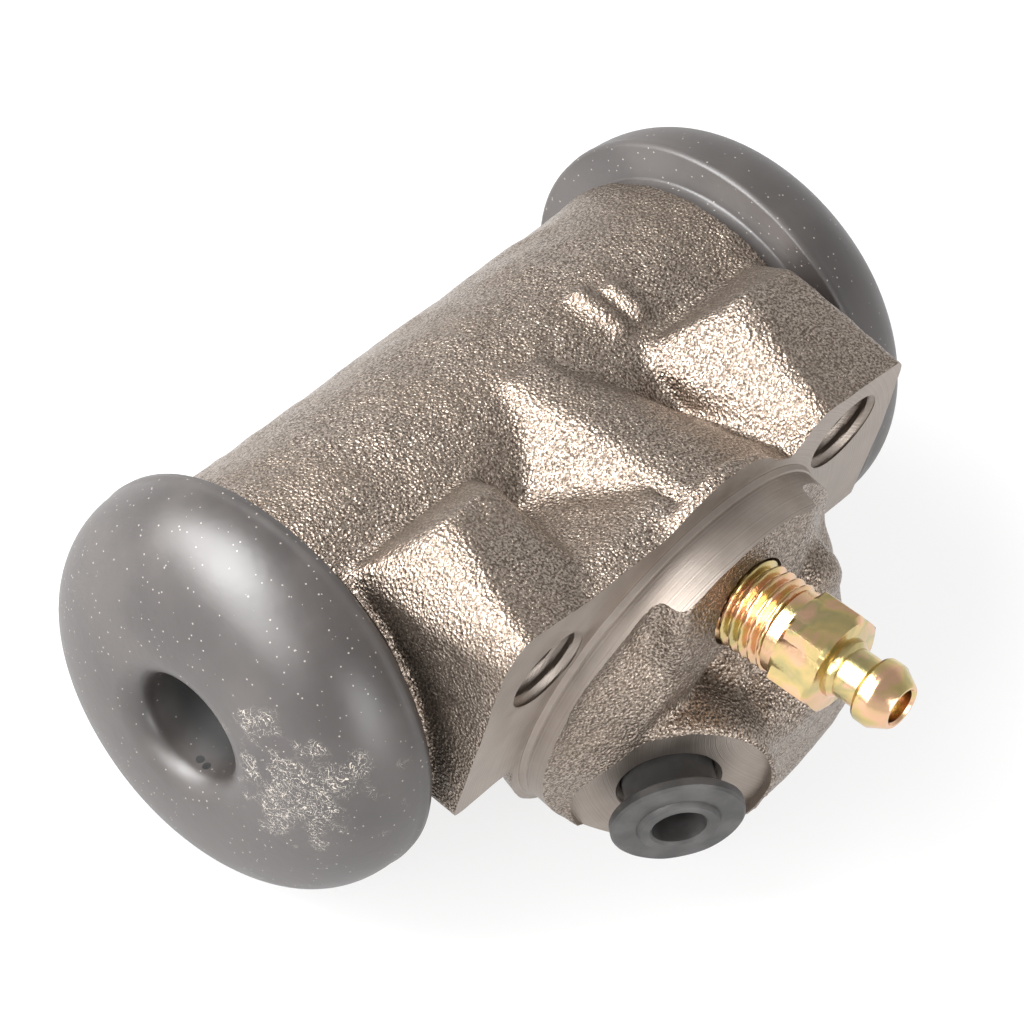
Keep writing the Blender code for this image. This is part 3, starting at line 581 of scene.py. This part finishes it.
def make_casting():
    skin = cast_iron()
    machined = machined_iron()
    body = joined("casting", make_blank(), CASTING)
    remesh = body.modifiers.new("one skin", "REMESH")
    remesh.mode = "VOXEL"
    remesh.voxel_size = VOXEL
    fillets = body.modifiers.new("fillets", "SMOOTH")
    fillets.factor = 0.6
    fillets.iterations = FILLET_PASSES
    apply_modifiers(body)
    press(body, TOWER_HOLLOWS)
    roughen(body, SAND_WAVES)
    body.data.materials.clear()
    body.data.materials.append(skin)
    for cutter in make_cutters():
        cutter.data.materials.append(machined)
        cutter.hide_render = True
    cut = body.modifiers.new("machining", "BOOLEAN")
    cut.operation = "DIFFERENCE"
    cut.solver = "MANIFOLD"
    cut.operand_type = "COLLECTION"
    cut.collection = TOOLS
    cut.material_mode = "TRANSFER"
    apply_modifiers(body)
    for cutter in list(TOOLS.objects):
        bpy.data.objects.remove(cutter)
    smoothed(body, 38)
    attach(body, "housing")
    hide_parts("cylinder_body")


make_casting()

# The pieces inside the bore
# Turned aluminium pistons, moulded cup seals and pressed steel expanders, slid in from both ends.
# The boots hide them, and they keep the solids' shapes.
ALUMINIUM_DARK = (0.52, 0.53, 0.55)
ALUMINIUM_BRIGHT = (0.68, 0.69, 0.71)
CUP_DARK = (0.012, 0.012, 0.014)
CUP_DUSTY = (0.035, 0.034, 0.036)
STEEL_DARK = (0.33, 0.33, 0.34)
STEEL_BRIGHT = (0.52, 0.52, 0.54)


def turned_aluminium():
    material, finish = new_material("turned_aluminium")
    spot = finish.node("ShaderNodeTexCoord", output="Object")
    along = finish.node("ShaderNodeSeparateXYZ", inputs={"Vector": spot})
    marks = finish.node("ShaderNodeTexNoise", {"noise_dimensions": "1D"},
                        {"W": along * 6000.0, "Scale": 1.0, "Detail": 2.0})
    color = marks.mixed(ALUMINIUM_DARK, ALUMINIUM_BRIGHT)
    bump = finish.node("ShaderNodeBump", inputs={"Height": marks, "Strength": 0.3, "Distance": 0.0001})
    set_shader(finish, Base_Color=color, Roughness=0.26 + marks * 0.2, Metallic=1.0, Normal=bump)
    return material


def cup_rubber():
    material, finish = new_material("cup_rubber_finish")
    spot = finish.node("ShaderNodeTexCoord", output="Object")
    clouds = finish.node("ShaderNodeTexNoise", inputs={"Vector": spot, "Scale": 400.0, "Detail": 4.0})
    set_shader(finish, Base_Color=clouds.mixed(CUP_DARK, CUP_DUSTY), Roughness=0.38 + clouds * 0.2)
    return material


def spring_steel():
    material, finish = new_material("drawn_steel")
    spot = finish.node("ShaderNodeTexCoord", output="Object")
    clouds = finish.node("ShaderNodeTexNoise", inputs={"Vector": spot, "Scale": 700.0, "Detail": 4.0})
    color = clouds.mixed(STEEL_DARK, STEEL_BRIGHT)
    set_shader(finish, Base_Color=color, Roughness=0.24 + clouds * 0.2, Metallic=1.0)
    return material


steel = spring_steel()
INNER_FINISHES = (
    (turned_aluminium(), ("piston_left", "piston_right")),
    (cup_rubber(), ("cup_left", "cup_right")),
    (steel, ("expander_left", "expander_right")),
)
for inner_finish, nodes in INNER_FINISHES:
    for node in nodes:
        mesh = frame["nodes"][node].data
        mesh.materials.clear()
        mesh.materials.append(inner_finish)

# The return spring
# A compression spring of drawn steel wire, cut at its middle into two halves with closed ends.
SPRING = collection("spring")
SPRING_HALVES = (("left", -1, "left_piston"), ("right", 1, "right_piston"))


def make_spring(finish):
    coil = frame["nodes"]["return_spring"].data
    for name, side, piston in SPRING_HALVES:
        half = bmesh.new()
        half.from_mesh(coil)
        everything = half.verts[:] + half.edges[:] + half.faces[:]
        cut = bmesh.ops.bisect_plane(half, geom=everything, plane_co=(0.0, 0.0, 0.0),
                                     plane_no=(side, 0.0, 0.0), clear_inner=True)
        rim = [part for part in cut["geom_cut"] if isinstance(part, bmesh.types.BMEdge)]
        bmesh.ops.edgenet_fill(half, edges=rim)
        piece = shape_object(f"spring_{name}", half, SPRING)
        piece.data.materials.append(finish)
        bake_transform(piece)
        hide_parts("return_spring")


make_spring(steel)

# The rubber boots
# Two closed boots of moulded black rubber, pushed over the barrel's spigots. Each is a dome with
# a thin flash lip round its back and a dimple where the brake shoe's push rod sits.
BOOTS = collection("boots")
BOOT_PLACES = (("boot_left", -1, "left_piston"), ("boot_right", 1, "right_piston"))
BOOT_STEPS = 128
BOOT_RIM_RADIUS = 0.0250
BOOT_BACK = 0.03695
BOOT_BASE = 0.03835
BOOT_NECK_RADIUS = 0.0205
BOOT_FIT = 0.0004
BOOT_WALL = 0.0020
BOOT_WARP = 0.004
BOOT_WARP_WIDTH = 0.012
DOME_RADIUS = 0.02488
DOME_HEIGHT = 0.0114
DOME_TOP = BOOT_BASE + DOME_HEIGHT
DOME_POWER = 2 / 2.3
DOME_STEPS = 40
CREST_RADIUS = 0.0098
LIP_STEPS = 15
INSIDE_STEPS = 12
DIMPLE_RADIUS = 0.0067
DIMPLE_LIP = 0.0025
DIMPLE_DEPTH = 0.0110
DIMPLE_SIDE = 0.80
DIMPLE_FLARE = 0.20
LINT_PLACE = (-0.0480, 0.0110, 0.0030)
MARK_PLACES = ((-0.04655, 0.0247, -0.0094), (-0.0468, 0.0236, -0.0091))
MARK_RADIUS = 0.0006
BOOT_BLACK = (0.0315, 0.0268, 0.0252)
BOOT_DUSTY = (0.064, 0.055, 0.051)
# Painted shade colour, deep inside the dimple.
DIMPLE_SHADE_BLACK = (0.004, 0.0034, 0.003)
# Painted shade colour for two small recesses in the near boot's dimple.
MARK_SHADE_BLACK = (0.003, 0.003, 0.003)
SPECK_PALE = (0.42, 0.38, 0.34)
LINT_PALE = (0.50, 0.45, 0.38)


def boot_rubber():
    """Satin black rubber with dust and pale specks, and painted shade that darkens the dimple towards
    its floor, where there are no specks. The near boot has a patch of lint, and two dots of painted
    shade in its dimple for two small recesses."""
    material, finish = new_material("boot_rubber_finish")
    spot = finish.node("ShaderNodeTexCoord", output="Object")
    clouds = finish.node("ShaderNodeTexNoise", inputs={"Vector": spot, "Scale": 90.0, "Detail": 4.0})
    fine = finish.node("ShaderNodeTexNoise", inputs={"Vector": spot, "Scale": 900.0, "Detail": 3.0})
    clumps = finish.node("ShaderNodeTexNoise", inputs={"Vector": spot, "Scale": 300.0, "Detail": 1.0})
    specks = finish.node("ShaderNodeTexVoronoi", inputs={"Vector": spot, "Scale": 1150.0})
    curls = finish.node(
        "ShaderNodeTexNoise", inputs={"Vector": spot, "Scale": 750.0, "Detail": 2.0, "Distortion": 1.2}
    )
    strand = finish.node(
        "ShaderNodeTexNoise", inputs={"Vector": spot, "Scale": 1150.0, "Detail": 1.0, "Distortion": 2.0}
    )
    from_lint, from_left_mark, from_right_mark = [
        finish.node("ShaderNodeVectorMath", {"operation": "DISTANCE"}, {0: spot, 1: place}, output=1)
        for place in (LINT_PLACE, *MARK_PLACES)
    ]
    x, y, z = [
        finish.node("ShaderNodeSeparateXYZ", inputs={"Vector": spot}, output=axis) for axis in "XYZ"
    ]
    along = x.maths("ABSOLUTE")
    across = y - BORE_CENTRE.y
    up = z - BORE_CENTRE.z
    dust = clouds.clamped(0.35, 0.75)
    color = (dust * 0.6).mixed(BOOT_BLACK, BOOT_DUSTY)
    # Painted shade: the colour darkens to near black towards the dimple's floor, where shade falls
    # inside it. The same mask keeps specks out of the dimple and makes it rougher.
    within = across * across + up * up < (DIMPLE_RADIUS + 0.0010) ** 2
    dimple_shade = within * (DOME_TOP - along).clamped(0.0028, 0.0065)
    color = dimple_shade.mixed(color, DIMPLE_SHADE_BLACK)
    speck = (specks < 0.12) * (fine > 0.46) * (1.0 - dimple_shade)
    color = (speck * 0.5).mixed(color, SPECK_PALE)
    lines = (curls - 0.5).maths("ABSOLUTE") < 0.010
    strands = (strand - 0.5).maths("ABSOLUTE") < 0.007
    lint = (lines + strands).maths("MINIMUM", 1.0)
    patch = (clouds * 0.5 + clumps - from_lint * 48.0).clamped(0.34, 0.56)
    color = (lint * patch * 0.8).mixed(color, LINT_PALE)
    # Painted shade: two small near-black dots in the dimple stand in for the shade inside two small
    # recesses.
    mark_shade = (from_left_mark < MARK_RADIUS) + (from_right_mark < MARK_RADIUS)
    color = mark_shade.mixed(color, MARK_SHADE_BLACK)
    height = clouds + fine * 0.2
    bump = finish.node("ShaderNodeBump", inputs={"Height": height, "Strength": 0.25, "Distance": 0.0004})
    rough = 0.38 + dust * 0.12 + dimple_shade * 0.3
    set_shader(finish, Base_Color=color, Roughness=rough, Normal=bump, Specular_IOR_Level=0.85)
    return material


def boot_profile():
    """The boot's section from the dimple's floor over the dome, round the lip and back inside."""
    profile = []
    floor = DOME_TOP - DIMPLE_DEPTH
    mouth = DOME_TOP - DIMPLE_LIP
    for index in range(DOME_STEPS):
        a = math.pi / 2 * (index + 0.4) / DOME_STEPS
        wide = DIMPLE_RADIUS * (DIMPLE_SIDE * math.sin(a) ** 0.8 + DIMPLE_FLARE * (1 - math.cos(a)))
        profile.append((wide, mouth - (mouth - floor) * math.cos(a)))
    lip = CREST_RADIUS - DIMPLE_RADIUS
    for index in range(1, LIP_STEPS + 1):
        a = math.pi / 2 * index / LIP_STEPS
        profile.append((CREST_RADIUS - lip * math.cos(a), mouth + (DOME_TOP - mouth) * math.sin(a)))
    wide = DOME_RADIUS - CREST_RADIUS
    for index in range(1, DOME_STEPS + 1):
        a = math.pi / 2 * index / DOME_STEPS
        profile.append((CREST_RADIUS + wide * math.sin(a) ** DOME_POWER,
                        BOOT_BASE + DOME_HEIGHT * math.cos(a) ** DOME_POWER))
    profile += [(BOOT_RIM_RADIUS, BOOT_BASE - 0.0004),
                (BOOT_RIM_RADIUS - 0.0001, BOOT_BACK + 0.0002),
                (BOOT_RIM_RADIUS - 0.0004, BOOT_BACK),
                (BOOT_NECK_RADIUS + 0.0003, BOOT_BACK),
                (BOOT_NECK_RADIUS, BOOT_BACK - 0.0003),
                (BOOT_NECK_RADIUS, BARREL_END + BOOT_FIT),
                (SPIGOT_RADIUS + BOOT_FIT, BARREL_END + BOOT_FIT),
                (SPIGOT_RADIUS + BOOT_FIT, BOOT_BASE)]
    wide = DOME_RADIUS - BOOT_WALL - CREST_RADIUS
    for index in range(INSIDE_STEPS):
        a = math.pi / 2 * (1 - index / INSIDE_STEPS)
        profile.append((CREST_RADIUS + wide * math.sin(a) ** DOME_POWER,
                        BOOT_BASE + (DOME_HEIGHT - BOOT_WALL) * math.cos(a) ** DOME_POWER))
    profile += [(DIMPLE_RADIUS + BOOT_WALL, mouth), (DIMPLE_RADIUS + BOOT_WALL / 2, floor),
                (DIMPLE_RADIUS * 0.5, floor - BOOT_WALL), (0.0005, floor - BOOT_WALL)]
    return profile


def make_boot(name, side, finish):
    boot = turned(name, boot_profile(), BOOTS, BOOT_STEPS)
    for vertex in boot.data.vertices:
        wave = noise.noise(vertex.co / BOOT_WARP_WIDTH + Vector((side, 0, 0)))
        vertex.co.xy *= 1.0 + BOOT_WARP * wave
    aimed(boot, BORE_CENTRE, Vector((side, 0.0, 0.0)))
    smoothed(boot, 50)
    boot.data.materials.append(finish)
    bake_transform(boot)
    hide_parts(name)


rubber = boot_rubber()
for boot_name, boot_side, boot_body in BOOT_PLACES:
    make_boot(boot_name, boot_side, rubber)

# The bleeder screw
# Turned from hexagon bar, threaded, and plated with yellow chromated zinc. The hose of a bleeding
# kit grips the barb round its mouth.
BLEEDER = collection("bleeder")
THREAD_RADIUS = 0.00525
THREAD_DEPTH = 0.0007
THREAD_PITCH = 0.00127
THREAD_LOW = 0.0045
THREAD_TOP = 0.0139
SHANK_RADIUS = 0.0050
SHANK_OVERLAP = 0.0004
HEX_LOW = 0.0151
HEX_HIGH = 0.0209
HEX_FLATS = 0.0111
HEX_TURN = math.radians(7.0)
TIP = HEX_HIGH + 0.0081
NIPPLE_PROFILE = (
    (0.0012, TIP - 0.0030), (0.0020, TIP - 0.0024), (0.00205, TIP - 0.0003), (0.0023, TIP),
    (0.0026, TIP), (0.0028, TIP - 0.0002), (0.00385, TIP - 0.0021), (0.00390, TIP - 0.0024),
    (0.00388, TIP - 0.0037), (0.0037, TIP - 0.0040), (0.0031, TIP - 0.0042), (0.0030, TIP - 0.0044),
    (0.0030, HEX_HIGH + 0.0010), (0.0033, HEX_HIGH + 0.0008), (0.0035, HEX_HIGH + 0.0006),
    (0.0036, HEX_HIGH - 0.0002),
)
ZINC_TINTS = [
    (0.30, (0.63, 0.44, 0.23)),
    (0.44, (0.73, 0.45, 0.29)),
    (0.53, (0.62, 0.47, 0.21)),
    (0.62, (0.46, 0.40, 0.19)),
    (0.75, (0.71, 0.44, 0.29)),
]


def yellow_zinc():
    """Yellow chromate with drifting rainbow tints over a bright zinc plate."""
    material, finish = new_material("yellow_zinc_plate")
    spot = finish.node("ShaderNodeTexCoord", output="Object")
    drift = finish.node(
        "ShaderNodeTexNoise", inputs={"Vector": spot, "Scale": 180.0, "Detail": 2.0, "Distortion": 0.8}
    )
    fine = finish.node("ShaderNodeTexNoise", inputs={"Vector": spot, "Scale": 2200.0, "Detail": 3.0})
    tint = finish.node("ShaderNodeValToRGB", {"stops": ZINC_TINTS}, {"Fac": drift})
    bump = finish.node("ShaderNodeBump", inputs={"Height": fine, "Strength": 0.2, "Distance": 0.0001})
    set_shader(finish, Base_Color=tint, Roughness=0.14 + fine * 0.14, Metallic=1.0, Normal=bump)
    return material


def make_bleeder():
    finish = yellow_zinc()
    shaft = threaded("bleeder_thread", THREAD_RADIUS, THREAD_DEPTH, THREAD_PITCH, THREAD_LOW,
                     THREAD_TOP, BLEEDER, 72, 14)
    shank = rod("bleeder_shank", SHANK_RADIUS, THREAD_TOP - SHANK_OVERLAP, HEX_LOW + SHANK_OVERLAP,
                where=BLEEDER, steps=72)
    corner = HEX_FLATS / math.sqrt(3)
    flat = HEX_FLATS / 2
    rings = [(flat * 0.95, HEX_HIGH), (flat * 1.01, HEX_HIGH - 0.0001), (corner, HEX_HIGH - 0.0006),
             (corner, HEX_LOW + 0.0006), (flat * 1.01, HEX_LOW + 0.0001), (flat * 0.95, HEX_LOW)]

    def six_sided(radius, height, angle):
        turn = (angle - HEX_TURN) % (math.pi / 3) - math.pi / 6
        return min(radius, flat / math.cos(turn))

    hexagon = turned("bleeder_hexagon", rings, BLEEDER, 144, False, six_sided)
    barb = turned("bleeder_nipple", NIPPLE_PROFILE, BLEEDER, 72)
    for piece in (shaft, shank, hexagon, barb):
        aimed(piece, BLEEDER_CENTRE, BLEEDER_DIRECTION)
        smoothed(piece, 22)
        piece.data.materials.append(finish)
        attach(piece, "bleeder")
        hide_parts("bleeder_screw")


make_bleeder()

# The shipping plug
# A soft moulded plug that keeps dirt out of the inlet port. Its flange stands off the spot face,
# and a raised ring surrounds the blind hole in its middle.
PLUG = collection("plug")
FLANGE_TOP = SPOT_FACE_AT + 0.0054
FLANGE_RADIUS = 0.0076
STEM_RADIUS = 0.0052
PLUG_RING_RADIUS = 0.00475
PLUG_HOLE_RADIUS = 0.0031
PLUG_PROFILE = (
    (0.0008, FLANGE_TOP - 0.0070), (PLUG_HOLE_RADIUS - 0.0002, FLANGE_TOP - 0.0068),
    (PLUG_HOLE_RADIUS, FLANGE_TOP + 0.0003), (PLUG_HOLE_RADIUS + 0.0003, FLANGE_TOP + 0.0006),
    (PLUG_RING_RADIUS - 0.0004, FLANGE_TOP + 0.0006),
    (PLUG_RING_RADIUS - 0.0001, FLANGE_TOP + 0.0003), (PLUG_RING_RADIUS, FLANGE_TOP),
    (FLANGE_RADIUS - 0.0003, FLANGE_TOP - 0.0001), (FLANGE_RADIUS, FLANGE_TOP - 0.0004),
    (FLANGE_RADIUS, FLANGE_TOP - 0.0013), (FLANGE_RADIUS - 0.0003, FLANGE_TOP - 0.0016),
    (STEM_RADIUS + 0.0003, FLANGE_TOP - 0.0016), (STEM_RADIUS, FLANGE_TOP - 0.0019),
    (STEM_RADIUS, FLANGE_TOP - 0.0072), (STEM_RADIUS + 0.0003, FLANGE_TOP - 0.0080),
    (STEM_RADIUS - 0.0006, FLANGE_TOP - 0.0122), (0.0008, FLANGE_TOP - 0.0124),
)
PLUG_RIPPLE = 0.00012
PLUG_RIPPLE_WIDTH = 0.004
PLUG_DARK = (0.032, 0.031, 0.030)
PLUG_DUSTY = (0.072, 0.068, 0.066)


def plug_rubber():
    """Dull dark grey rubber, a little dusty."""
    material, finish = new_material("plug_rubber_finish")
    spot = finish.node("ShaderNodeTexCoord", output="Object")
    clouds = finish.node("ShaderNodeTexNoise", inputs={"Vector": spot, "Scale": 300.0, "Detail": 5.0})
    color = clouds.clamped(0.3, 0.75).mixed(PLUG_DARK, PLUG_DUSTY)
    bump = finish.node("ShaderNodeBump", inputs={"Height": clouds, "Strength": 0.3, "Distance": 0.0003})
    set_shader(finish, Base_Color=color, Roughness=0.40 + clouds * 0.15, Normal=bump)
    return material


def make_plug():
    plug = turned("plug_body", PLUG_PROFILE, PLUG, 96)
    for vertex in plug.data.vertices:
        vertex.co.z += PLUG_RIPPLE * noise.noise(vertex.co / PLUG_RIPPLE_WIDTH)
    aimed(plug, BOSS_CENTRE, INLET_DIRECTION)
    smoothed(plug, 40)
    plug.data.materials.append(plug_rubber())
    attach(plug, "plug")
    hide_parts("inlet_plug")


make_plug()
